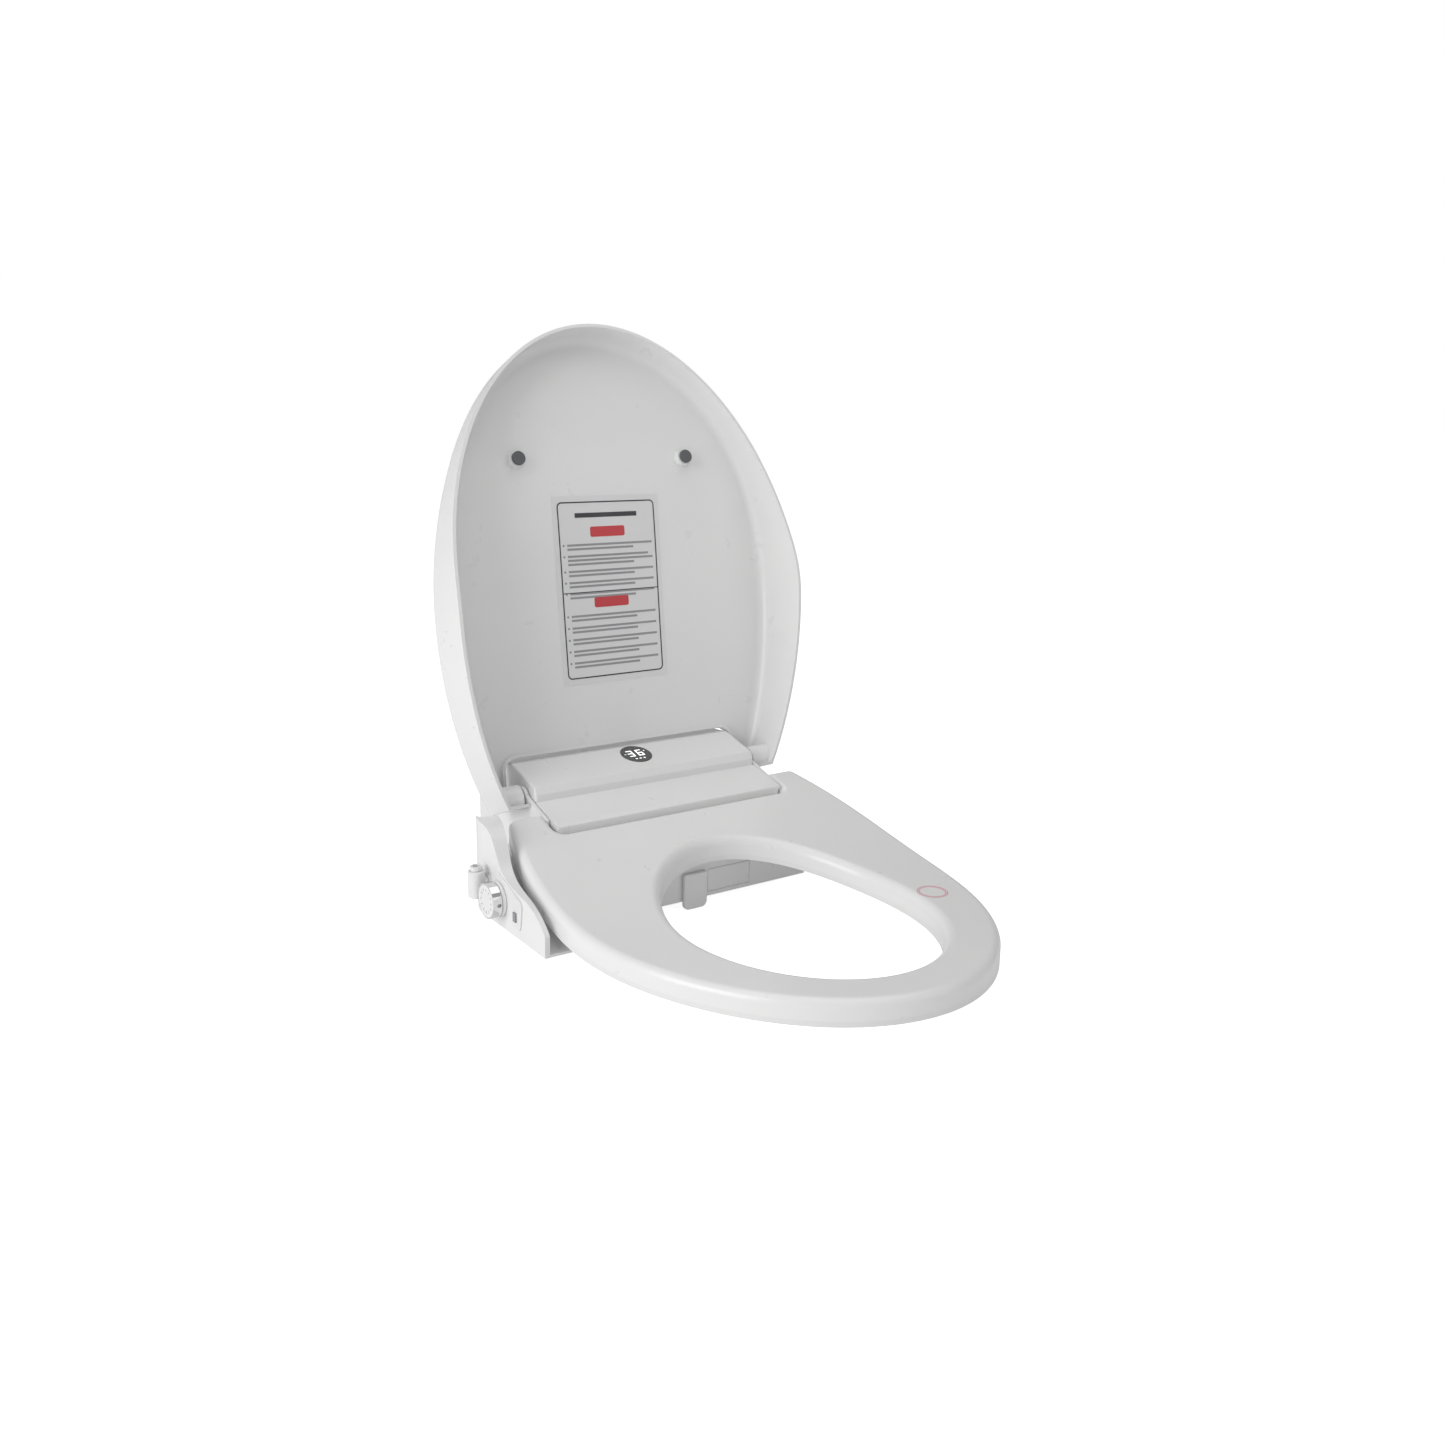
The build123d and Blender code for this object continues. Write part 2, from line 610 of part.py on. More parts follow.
def control_parts():
    panel = side_prism([(-108, 50), (-155, 34), (-150, 6), (-93, 28)], (wing_x - panel_thick, wing_x))
    panel = fillet(panel.edges().filter_by(Axis.X), 6)
    panel -= rod_x((wing_x - 3, wing_x + 1), knob_y, knob_z, knob_shaft_r + run_gap)
    panel -= button_solid(0.3, -3)
    export("control_panel", panel)
    export("power_button", button_solid(0, 0))

    grip_x = (wing_x - panel_thick - knob_gap - knob_length, wing_x - panel_thick - knob_gap)
    grip = rod_x(grip_x, knob_y, knob_z, knob_r - 1.5)
    grip += rod_x((grip_x[1] - 3, grip_x[1]), knob_y, knob_z, knob_r)
    shaft_end = wing_x + wing_wall + encoder_deep - 1
    grip += rod_x((grip_x[1] - 1, shaft_end), knob_y, knob_z, knob_shaft_r)
    grip -= rod_x((grip_x[0] - 1, grip_x[0] + 1.5), knob_y, knob_z, knob_r - 4)
    export("knob_body", grip)
    ring = rod_x((grip_x[0], grip_x[0] + 8), knob_y, knob_z, knob_r)
    ring -= rod_x((grip_x[0] - 1, grip_x[0] + 9), knob_y, knob_z, knob_r - 1.5)
    export("knob_ring", ring)
    face = rod_x((grip_x[0] + 0.3, grip_x[0] + 1.5), knob_y, knob_z, knob_r - 4)
    export("knob_face", face)
    encoder = block((wing_x + wing_wall, wing_x + wing_wall + encoder_deep), (knob_y - encoder_half, knob_y + encoder_half),
                    (knob_z - encoder_half, knob_z + encoder_half))
    encoder -= rod_x((wing_x, wing_x + 20), knob_y, knob_z, knob_shaft_r + run_gap)
    export("knob_encoder", encoder)

    union = rod_x((inlet_x + 3, wing_x + 12), inlet_y, union_z, union_r)
    union += rod_x((wing_x - 2, wing_x), inlet_y, union_z, union_r + 2.5)
    export("inlet_union", union)
    elbow = rod_z(inlet_x, inlet_y, (inlet_low_z, inlet_high_z - collar_thick - collar_travel), inlet_r)
    elbow = fillet(elbow.edges(), 1.2)
    elbow += rod_x((inlet_x, wing_x - 2.3), inlet_y, union_z, union_r + 1.7)
    elbow -= rod_x((inlet_x + 3 - 0.5, wing_x), inlet_y, union_z, union_r + run_gap)
    top_z = inlet_high_z - collar_thick - collar_travel
    elbow -= rod_z(inlet_x, inlet_y, (top_z - hose_bore_depth + 6, top_z + 1), hose_bore_r)
    elbow -= rod_z(inlet_x, inlet_y, (top_z - 4, top_z + 1), collar_r - 1 + run_gap)
    export("inlet_elbow", elbow)
    collar = rod_z(inlet_x, inlet_y, (top_z + collar_travel, inlet_high_z), collar_r)
    collar += rod_z(inlet_x, inlet_y, (top_z - 4 + collar_travel + 0.2, top_z + collar_travel + 1), collar_r - 1)
    collar -= rod_z(inlet_x, inlet_y, (top_z - 8, inlet_high_z + 1), hose_bore_r)
    export("inlet_collar", collar)


# ===================================================================== nozzle
def tooth_profile(half_pitch_width):
    """A straight-sided rack tooth, from root to tip, as (along, above) points."""
    return [(-half_pitch_width * 1.75, 0), (half_pitch_width * 1.75, 0), (half_pitch_width * 0.6, 2 * tooth_module),
            (-half_pitch_width * 0.6, 2 * tooth_module)]


def nozzle_parts():
    pitch = math.pi * tooth_module
    tube = nozzle_rod((nozzle_tip_length, nozzle_length), nozzle_r)
    tube -= nozzle_rod((nozzle_tip_length + 4, nozzle_length + 1), nozzle_r - 3)
    bar = Box(2 * rack_half, rack_span[1] - rack_span[0], rack_root - nozzle_r + 2)
    tube += at_nozzle(bar, sum(rack_span) / 2, (rack_root + nozzle_r - 2) / 2)
    count = int((rack_span[1] - rack_span[0] - 4) / pitch)
    teeth = []
    for index in range(count):
        along = pinion_place + (index - 1.5) * pitch
        points = [(-rack_half, a, b) for a, b in tooth_profile(pitch / 4 - tooth_play)]
        tooth = extrude(make_face(Polyline(*points, close=True)), amount=2 * rack_half, dir=(1, 0, 0))
        teeth.append(at_nozzle(tooth, along, rack_root - 0.01))
    tube = tube + teeth
    export("nozzle_tube", tube)

    tip = nozzle_rod((tip_start, nozzle_tip_length), nozzle_r)
    tip -= at_nozzle(Pos(0, 0, nozzle_r) * Box(7, 9, 1.6), 10, 0)
    for along in (8, 12):
        tip -= at_nozzle(Cylinder(0.8, 3), along, nozzle_r - 2)
    export("nozzle_tip", tip)

    y_front = tub_front_y - 0.6 - cover_thick
    cover = side_prism([(y_front, cover_low_z), (y_front + cover_thick, cover_low_z),
                        (y_front + cover_thick, cover_high_z), (y_front, cover_high_z)],
                       (nozzle_x - cover_half, nozzle_x + cover_half))
    cover = fillet(cover.edges().filter_by(Axis.Y).group_by(Axis.Z)[0], 6)
    cover = fillet(cover.edges().filter_by(Axis.Y).group_by(Axis.Z)[-1], 2)
    cover = chamfer(cover.faces().sort_by(Axis.Y)[0].edges(), 0.8)
    stem = nozzle_rod((-6.0, tip_start), nozzle_r - 2) & block((-20, 20), (y_front + cover_thick, 0), (-40, 20))
    export("nozzle_cover", cover + stem)

    guide = nozzle_rod(guide_span, guide_r) - nozzle_rod((-10, 60), nozzle_r + run_gap)
    guide -= at_nozzle(Box(2 * rack_half + 1, 80, 10), 27, nozzle_r + 3)
    foot = block((nozzle_x - 7, nozzle_x + 7), (-106, -92), (chin_low_z + wall, 6)) - nozzle_rod((-10, 60), nozzle_r + run_gap)
    export("nozzle_guide", guide + foot)

    pinion_above = rack_root + tooth_module + pinion_teeth * tooth_module / 2 + 0.1
    body = Rot(0, 90, 0) * Cylinder(pinion_teeth * tooth_module / 2 - 1.1 * tooth_module, 2 * rack_half)
    for index in range(pinion_teeth):
        turn = index * 360 / pinion_teeth
        points = [(-rack_half, -0.75, 0), (-rack_half, 0.75, 0), (-rack_half, 0.35, 2.0), (-rack_half, -0.35, 2.0)]
        tooth = extrude(make_face(Polyline(*points, close=True)), amount=2 * rack_half, dir=(1, 0, 0))
        body += Rot(turn, 0, 0) * Pos(0, 0, pinion_teeth * tooth_module / 2 - 1.2) * tooth
    motor_x = (-motor_length / 2 - rack_half - 1.5)
    body += Pos(-rack_half - 5, 0, 0) * Rot(0, 90, 0) * Cylinder(pinion_shaft_r, 12)
    export("nozzle_pinion", at_nozzle(body, pinion_place, pinion_above))
    motor = Pos(motor_x, 0, 0) * Rot(0, 90, 0) * Cylinder(motor_r, motor_length)
    motor -= Pos(-rack_half - 5, 0, 0) * Rot(0, 90, 0) * Cylinder(pinion_shaft_r + run_gap, 14)
    motor = at_nozzle(motor, pinion_place, pinion_above)
    x_motor = nozzle_x + motor_x
    stand = block((x_motor - 8, x_motor + 8), (chin_back_y - 2, chin_back_y + 6), (floor_z + wall, 37))
    stand -= at_nozzle(Pos(motor_x, 0, 0) * Rot(0, 90, 0) * Cylinder(motor_r - 0.01, 40), pinion_place, pinion_above)
    export("nozzle_motor", motor + stand)


# ====================================================================== dryer
def flap_axis():
    """Where the flap's pins lie: (y, z)."""
    return tub_front_y + 1.5, dryer_high_z - 1.8


def dryer_parts():
    flap_x = (dryer_x[0] + flap_gap, dryer_x[1] - flap_gap)
    pin_y, pin_z = flap_axis()
    flap = block(flap_x, (tub_front_y, tub_front_y + flap_thick), (dryer_low_z + flap_gap, pin_z))
    flap += rod_x(flap_x, pin_y, pin_z, 1.5)
    flap += rod_x((flap_x[0] - 2, flap_x[1] + 2), pin_y, pin_z, flap_pin_r)
    export("dryer_flap", flap)

    def duct_profile(inset):
        front = tub_front_y + wall
        back = 0 if inset == 0 else -inset
        return [(front + 0.5 if inset == 0 else front - 1, dryer_low_z + inset), (-96, dryer_low_z + inset),
                (-73, floor_z + wall + 0.5 + inset), (back, floor_z + wall + 0.5 + inset), (back, 42 - inset),
                (-60, 30 - inset), (-92, dryer_high_z - inset),
                (front + 0.5 if inset == 0 else front - 1, dryer_high_z - inset)]

    duct = side_prism(duct_profile(0), (dryer_x[0] + 1, dryer_x[1] - 1))
    duct -= side_prism(duct_profile(duct_wall), (dryer_x[0] + 1 + duct_wall, dryer_x[1] - 1 - duct_wall))
    duct -= block(fan_x, (-5, 1), fan_outlet_z)
    export("dryer_duct", duct)
    heater = block((dryer_x[0] + 1 + duct_wall, dryer_x[1] - 1 - duct_wall), (-40, -22), (floor_z + wall + 0.5 + duct_wall, 30))
    for index in range(5):
        x = dryer_x[0] + 6 + index * 8.4
        heater -= block((x, x + 5.5), (-45, -15), (13, 27))
    export("dryer_heater", heater)

    inner_x = fan_x
    outer_x = (fan_x[0] - fan_wall, fan_x[1] + fan_wall)
    scroll_r = fan_r + fan_gap
    housing = rod_x(outer_x, fan_y, fan_z, scroll_r + fan_wall)
    housing += block(outer_x, (0, fan_y), (fan_outlet_z[0] - fan_wall, fan_outlet_z[1] + fan_wall))
    housing -= rod_x(inner_x, fan_y, fan_z, scroll_r)
    housing -= block(inner_x, (-1, fan_y - 5), fan_outlet_z)
    housing -= rod_x((outer_x[0] - 1, fan_x[0] + 1), fan_y, fan_z, fan_r * 0.6)
    housing -= rod_x((fan_x[1] - 1, outer_x[1] + 1), fan_y, fan_z, fan_shaft_r + 1)
    housing += block((fan_x[0] + 4, fan_x[1] - 4), (fan_y - 6, fan_y + 6), (floor_z + wall, fan_z - scroll_r - 0.5))
    export("fan_housing", housing)

    blade_x = (fan_x[0] + 2, fan_x[1] - 3)
    wheel = rod_x((blade_x[1] - 2, blade_x[1]), fan_y, fan_z, fan_r)
    wheel += rod_x((blade_x[1] - 14, blade_x[1]), fan_y, fan_z, fan_hub_r)
    wheel += rod_x((blade_x[1] - 2, fan_x[1] + 14), fan_y, fan_z, fan_shaft_r)
    rim = rod_x((blade_x[0], blade_x[0] + 1.5), fan_y, fan_z, fan_r)
    wheel += rim - rod_x((blade_x[0] - 1, blade_x[0] + 3), fan_y, fan_z, fan_r - 5)
    for index in range(fan_blades):
        blade = Pos(0, 0, fan_r - 2.6) * Rot(30, 0, 0) * Box(blade_x[1] - blade_x[0], 1.0, 4.2)
        turned = Rot(index * 360 / fan_blades, 0, 0) * blade
        wheel += Pos(sum(blade_x) / 2, fan_y, fan_z) * turned
    export("fan_wheel", wheel)
    motor = rod_x((outer_x[1], outer_x[1] + 20), fan_y, fan_z, 12)
    motor -= rod_x((outer_x[1] - 1, outer_x[1] + 15), fan_y, fan_z, fan_shaft_r + run_gap)
    export("fan_motor", motor)


# ================================================================== internals
def internal_parts():
    tank = block(tank_x, tank_y, (floor_z + wall, tank_z[1]))
    tank = fillet(tank.edges().filter_by(Axis.Z), 8)
    export("heater_tank", tank)
    valve = block(valve_x, valve_y, (floor_z + wall, 26)) + rod_z(sum(valve_x) / 2, sum(valve_y) / 2, (25, 44), 11)
    export("inlet_valve", valve)
    pump = block(pump_x, (valve_y[0] + 2, valve_y[1] - 2), (floor_z + wall, 24))
    pump += rod_y((valve_y[0] + 2, valve_y[1] - 2), sum(pump_x) / 2, 30, 12)
    export("water_pump", pump)
    hose_z = 16
    hose = rod_x((valve_x[1], pump_x[0]), sum(valve_y) / 2, hose_z, 3)
    export("pump_hose", hose)
    board = block(board_x, board_y, (floor_z + wall + post_high, floor_z + wall + post_high + board_thick))
    for x in (board_x[0] + 4, board_x[1] - 4):
        for y in (board_y[0] + 4, board_y[1] - 4):
            board += rod_z(x, y, (floor_z + wall, floor_z + wall + post_high + 1), 2.5)
    board_top = floor_z + wall + post_high + board_thick
    board += block((-34, -10), (22, 46), (board_top - 0.5, board_top + 18))
    board += block((-4, 10), (50, 68), (board_top - 0.5, board_top + 12))
    for x in (-30, -18):
        board += rod_z(x, 60, (board_top - 0.5, board_top + 20), 5)
    export("control_board", board)

    inner_x = box_half - 26
    guide_y = latch_half + 2.5
    guide = block((inner_x, box_half - wall), (latch_y - guide_y, latch_y + guide_y), (floor_z + wall, latch_z + 7))
    channel_y = (latch_y - latch_half - run_gap, latch_y + latch_half + run_gap)
    guide -= block((inner_x + 3, box_half), channel_y, (latch_z - 4 - run_gap, latch_z + 4 + run_gap))
    export("latch_guide", guide)
    latch = block((inner_x + 8, box_half + 1.5), (latch_y - latch_half, latch_y + latch_half), (latch_z - 4, latch_z + 4))
    export("release_latch", latch)


os.makedirs("parts", exist_ok=True)
seat_parts()
lid_parts()
base_parts()
housing_parts()
control_parts()
nozzle_parts()
dryer_parts()
internal_parts()
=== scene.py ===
"""Looks of the electric bidet seat: plastics, display, instruction card, camera and studio."""
import json
import math

import bmesh
import bpy
from mathutils import Matrix, Vector
from mathutils.bvhtree import BVHTree


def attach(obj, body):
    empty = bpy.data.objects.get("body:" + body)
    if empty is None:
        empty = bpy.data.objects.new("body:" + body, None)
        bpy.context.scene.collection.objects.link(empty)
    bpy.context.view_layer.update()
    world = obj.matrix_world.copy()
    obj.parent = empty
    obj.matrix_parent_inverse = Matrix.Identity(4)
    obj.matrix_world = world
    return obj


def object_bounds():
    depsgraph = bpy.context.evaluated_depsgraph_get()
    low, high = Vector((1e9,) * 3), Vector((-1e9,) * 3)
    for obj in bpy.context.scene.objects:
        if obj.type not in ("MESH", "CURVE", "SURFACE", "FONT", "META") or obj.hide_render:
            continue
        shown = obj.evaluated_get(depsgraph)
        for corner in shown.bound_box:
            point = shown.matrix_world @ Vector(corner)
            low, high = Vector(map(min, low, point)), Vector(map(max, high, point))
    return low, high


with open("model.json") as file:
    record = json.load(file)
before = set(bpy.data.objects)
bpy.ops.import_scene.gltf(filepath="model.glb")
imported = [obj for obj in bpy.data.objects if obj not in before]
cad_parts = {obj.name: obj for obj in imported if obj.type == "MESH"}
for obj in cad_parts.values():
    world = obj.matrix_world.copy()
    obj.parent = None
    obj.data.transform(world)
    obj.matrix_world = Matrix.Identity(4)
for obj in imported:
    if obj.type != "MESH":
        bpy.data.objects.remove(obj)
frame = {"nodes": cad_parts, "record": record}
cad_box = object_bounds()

MM = 0.001
NODES = frame["nodes"]

# ---- sizes shared with the CAD, in millimetres
HINGE_Y = -18.0
HINGE_Z = 80.0
OPEN_ANGLE = math.radians(111.0)
PANEL_SLOPE = 0.248
PANEL_Z = 68.9
PANEL_Y = -200.0
LID_WALL = 3.0
LABEL_THICK = 0.4
BOX_TOP_Y = -36.5
BOX_TOP_Z = 94.0
BOX_SLOPE = 0.27
DISPLAY_Y = -8.0
DISPLAY_X = 3.0
KNOB = (-112.0, 26.0)       # y and z of its axis
SENSOR = (127.0, -302.0)
SEAT_FRONT_TOP = 26.0
SEAT_RISE = 0.31
SEAT_BEND_Y = -217.0
SEAT_BEND_SOFT = 30.0

# ---- print, in millimetres above the surface it is on
PRINT_LOW = 0.02
PRINT_HIGH = 0.14
TITLE_HIGH = 0.16
ROW_HIGH = 0.13
RING_HIGH = 0.12
TICK_SPAN = (-0.2, 0.06)
DIGIT_SPAN = (0.31, 0.38)

# ---- laying print on a curved surface
LONG_EDGE = 12
LONG_EDGE_CUTS = 9
CAST_FROM = 12


# ================================================================== materials
def new_material(name):
    """A node-based material, with its node tree and its shader."""
    material = bpy.data.materials.new(name)
    material.use_nodes = True
    tree = material.node_tree
    shader = tree.nodes["Principled BSDF"]
    return material, tree, shader


def varied(tree, scale, low, high, detail=3.0):
    """A noise that runs between two values."""
    coords = tree.nodes.new("ShaderNodeTexCoord")
    noise = tree.nodes.new("ShaderNodeTexNoise")
    noise.inputs["Scale"].default_value = scale
    noise.inputs["Detail"].default_value = detail
    tree.links.new(coords.outputs["Object"], noise.inputs["Vector"])
    spread = tree.nodes.new("ShaderNodeMapRange")
    spread.inputs["From Min"].default_value = 0.3
    spread.inputs["From Max"].default_value = 0.7
    spread.inputs["To Min"].default_value = low
    spread.inputs["To Max"].default_value = high
    tree.links.new(noise.outputs["Fac"], spread.inputs["Value"])
    return spread.outputs["Result"]


def coloured(tree, shader, first, second, scale):
    """A base colour that drifts between two close shades."""
    mix = tree.nodes.new("ShaderNodeMix")
    mix.data_type = "RGBA"
    mix.inputs["A"].default_value = (*first, 1.0)
    mix.inputs["B"].default_value = (*second, 1.0)
    tree.links.new(varied(tree, scale, 0.0, 1.0), mix.inputs["Factor"])
    tree.links.new(mix.outputs["Result"], shader.inputs["Base Color"])


def bumped(tree, shader, scale, depth, detail=2.0):
    """A fine surface texture."""
    bump = tree.nodes.new("ShaderNodeBump")
    bump.inputs["Distance"].default_value = depth * MM
    bump.inputs["Strength"].default_value = 0.6
    tree.links.new(varied(tree, scale, 0.0, 1.0, detail), bump.inputs["Height"])
    tree.links.new(bump.outputs["Normal"], shader.inputs["Normal"])


def plastic(name, first, second, rough, coat=0.0, grain=900.0, depth=0.01):
    """Moulded plastic, rubber, card or ink between two close shades."""
    material, tree, shader = new_material(name)
    coloured(tree, shader, first, second, 9.0)
    tree.links.new(varied(tree, 40.0, rough * 0.85, rough * 1.15), shader.inputs["Roughness"])
    bumped(tree, shader, grain, depth)
    shader.inputs["Coat Weight"].default_value = coat
    shader.inputs["Coat Roughness"].default_value = 0.12
    shader.inputs["IOR"].default_value = 1.49
    return material


def metal(name, colour, rough, grain=1500.0):
    """Plain metal with a fine grain."""
    material, tree, shader = new_material(name)
    darker = tuple(value * 0.94 for value in colour)
    coloured(tree, shader, colour, darker, 60.0)
    tree.links.new(varied(tree, 150.0, rough * 0.8, rough * 1.2), shader.inputs["Roughness"])
    bumped(tree, shader, grain, 0.002)
    shader.inputs["Metallic"].default_value = 1.0
    return material


def glowing(name, colour, strength):
    """The lit parts of the display."""
    material, tree, shader = new_material(name)
    coloured(tree, shader, colour, colour, 20.0)
    shader.inputs["Emission Color"].default_value = (*colour, 1.0)
    shader.inputs["Emission Strength"].default_value = strength
    return material


white_gloss = plastic("white_gloss", (0.80, 0.80, 0.80), (0.815, 0.815, 0.812), 0.32, 0.25)
white_satin = plastic("white_satin", (0.76, 0.76, 0.76), (0.78, 0.78, 0.775), 0.45, 0.0, 1200.0, 0.015)
grey_rubber = plastic("grey_rubber", (0.105, 0.107, 0.112), (0.125, 0.127, 0.132), 0.62, 0.0, 2500.0, 0.03)
steel = metal("steel", (0.62, 0.62, 0.63), 0.28)
chrome = metal("chrome_trim", (0.80, 0.80, 0.81), 0.06)
black_lens = plastic("black_lens", (0.010, 0.010, 0.011), (0.014, 0.014, 0.015), 0.08, 0.8, 400.0, 0.001)
grey_button = plastic("grey_button", (0.24, 0.25, 0.26), (0.27, 0.28, 0.29), 0.25, 0.2)
board_green = plastic("board_green", (0.02, 0.12, 0.05), (0.03, 0.15, 0.06), 0.4)
black_plastic = plastic("black_plastic", (0.02, 0.02, 0.02), (0.03, 0.03, 0.03), 0.5)
card = plastic("label_card", (0.74, 0.74, 0.74), (0.76, 0.76, 0.76), 0.5, 0.0, 1500.0, 0.004)
foil = metal("heater_foil", (0.75, 0.75, 0.75), 0.3)
brass = metal("brass_valve", (0.62, 0.45, 0.2), 0.3)
ink = plastic("ink", (0.05, 0.05, 0.055), (0.07, 0.07, 0.075), 0.6)
grey_ink = plastic("grey_ink", (0.30, 0.30, 0.31), (0.36, 0.36, 0.37), 0.6)
red_ink = plastic("red_ink", (0.56, 0.05, 0.06), (0.60, 0.07, 0.08), 0.5)
pink_ink = plastic("pink_ink", (0.62, 0.06, 0.16), (0.66, 0.09, 0.19), 0.5)
digit_white = glowing("digit_white", (0.9, 0.92, 0.93), 0.9)

SLOT_MATERIAL = {
    "white_gloss": white_gloss, "white_satin": white_satin, "grey_rubber": grey_rubber, "steel": steel,
    "chrome_trim": chrome, "black_lens": black_lens, "grey_button": grey_button, "board_green": board_green,
    "black_plastic": black_plastic, "label_card": card, "heater_foil": foil, "brass_valve": brass,
}


def dress_nodes():
    """Give each CAD node the material of its slot."""
    for part in frame["record"]["subparts"]:
        node = NODES[part["node"]]
        node.data.materials.clear()
        node.data.materials.append(SLOT_MATERIAL[part["material_slot"]])


# ============================================================== mesh building
def piece(name, mesh, material, body):
    """A new object that rides on a body."""
    mesh.materials.append(material)
    obj = bpy.data.objects.new(name, mesh)
    bpy.context.scene.collection.objects.link(obj)
    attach(obj, body)
    return obj


def lay_on(bm, matrix, node):
    """Move flat print from its own plane onto a CAD node, keeping each point's height above it."""
    surface = BVHTree.FromPolygons([vert.co / MM for vert in NODES[node].data.vertices],
                                   [face.vertices for face in NODES[node].data.polygons])
    normal = (matrix.to_3x3() @ Vector((0, 0, 1))).normalized()
    long_edges = [edge for edge in bm.edges if edge.calc_length() > LONG_EDGE]
    bmesh.ops.subdivide_edges(bm, edges=long_edges, cuts=LONG_EDGE_CUTS, use_grid_fill=True)
    for vert in bm.verts:
        height = vert.co.z
        start = matrix @ Vector((vert.co.x, vert.co.y, 0)) + normal * CAST_FROM
        hit = surface.ray_cast(start, -normal)[0]
        vert.co = hit + normal * height


def mesh_from(bm, name, matrix, smooth=True, on_node=None):
    """A mesh in metres from a shape drawn in its own plane, put in place or laid on a CAD node."""
    if on_node is None:
        bm.transform(matrix)
    else:
        lay_on(bm, matrix, on_node)
    bm.transform(Matrix.Diagonal((MM, MM, MM, 1.0)))
    bmesh.ops.recalc_face_normals(bm, faces=bm.faces)
    mesh = bpy.data.meshes.new(name)
    bm.to_mesh(mesh)
    bm.free()
    for face in mesh.polygons:
        face.use_smooth = smooth
    return mesh


def add_slab(bm, points, low, high):
    """A flat-topped solid over a plan outline."""
    bottom = [bm.verts.new((x, y, low)) for x, y in points]
    top = [bm.verts.new((x, y, high)) for x, y in points]
    bm.faces.new(bottom[::-1])
    bm.faces.new(top)
    for index in range(len(points)):
        after = (index + 1) % len(points)
        bm.faces.new((bottom[index], bottom[after], top[after], top[index]))


def bar(x0, x1, y0, y1):
    """A rectangle, as plan points."""
    return [(x0, y0), (x1, y0), (x1, y1), (x0, y1)]


def rounded(x0, x1, y0, y1, radius, steps=6):
    """A rectangle with round corners, as plan points."""
    corners = ((x1 - radius, y1 - radius, 0), (x0 + radius, y1 - radius, 90), (x0 + radius, y0 + radius, 180),
               (x1 - radius, y0 + radius, 270))
    points = []
    for cx, cy, start in corners:
        for step in range(steps + 1):
            angle = math.radians(start + 90 * step / steps)
            points.append((cx + radius * math.cos(angle), cy + radius * math.sin(angle)))
    return points


def add_frame(bm, outer, inner, low, high):
    """A flat band between two outlines with as many points each."""
    rows = []
    for points, z in ((outer, low), (outer, high), (inner, high), (inner, low)):
        rows.append([bm.verts.new((x, y, z)) for x, y in points])
    count = len(outer)
    for row, this in enumerate(rows):
        following = rows[(row + 1) % len(rows)]
        for index in range(count):
            after = (index + 1) % count
            bm.faces.new((this[index], this[after], following[after], following[index]))


def ring_points(radius, steps=64):
    """A circle, as plan points."""
    return [(radius * math.cos(2 * math.pi * i / steps), radius * math.sin(2 * math.pi * i / steps))
            for i in range(steps)]


def opened():
    """The turn of the closed lid to where it rests open."""
    hinge = Matrix.Translation((0, HINGE_Y, HINGE_Z))
    return hinge @ Matrix.Rotation(OPEN_ANGLE, 4, Vector((-1, 0, 0))) @ hinge.inverted()


def on_card():
    """From the card's own plane, x to the right and y up the open lid, to where it hangs."""
    y = HINGE_Y - 189.0
    z = PANEL_Z + (y - PANEL_Y) * PANEL_SLOPE - LID_WALL - LABEL_THICK
    tilt = math.atan(PANEL_SLOPE)
    place = Matrix.Translation((0, y, z)) @ Matrix.Rotation(tilt, 4, "X")
    return opened() @ place @ Matrix.Rotation(math.pi, 4, "X")


# ============================================================ instruction card
def card_piece(name, bm, material):
    """Lay one colour of the card's print on the card."""
    piece(name, mesh_from(bm, name, on_card(), False, "lid_label"), material, "lid")


def card_print():
    """A ruled border, a divider, two red title bars and rows of plain bars."""
    half_w = 55.0
    half_h = 86.0
    line = 1.3
    corner = 5.0
    bm = bmesh.new()
    outer = rounded(-half_w, half_w, -half_h, half_h, corner)
    inner = rounded(-half_w + line, half_w - line, -half_h + line, half_h - line, corner - 1.2)
    add_frame(bm, outer, inner, PRINT_LOW, PRINT_HIGH)
    add_slab(bm, bar(-half_w, half_w, -2.4, -1.5), PRINT_LOW, PRINT_HIGH)
    add_slab(bm, bar(-36, 34, 70.5, 75.0), PRINT_LOW, PRINT_HIGH)
    card_piece("card_border", bm, ink)

    bm = bmesh.new()
    for y in (56.5, -12.5):
        add_slab(bm, rounded(-20, 19, y - 5, y + 5, 2.0), PRINT_LOW, TITLE_HIGH)
    card_piece("card_title_bars", bm, red_ink)

    bm = bmesh.new()
    for top, rows in ((45.0, (2, 3, 2, 2, 2)), (-24.0, (2, 2, 2, 2, 2))):
        y = top
        for lines in rows:
            add_slab(bm, rounded(-51.5, -49.3, y - 2.0, y + 0.2, 1.0, 3), PRINT_LOW, PRINT_HIGH)
            for row in range(lines):
                end = 50 - 17 * (row == lines - 1) - 5 * ((rows.index(lines) + row) % 2)
                add_slab(bm, bar(-46.5, end, y - 1.9, y + 0.2), PRINT_LOW, ROW_HIGH)
                y -= 3.9
            y -= 3.0 if top > 0 else 3.6
    card_piece("card_rows", bm, grey_ink)


# ==================================================================== display
SEGMENTS = {"3": "abgcd", "6": "afgedc"}


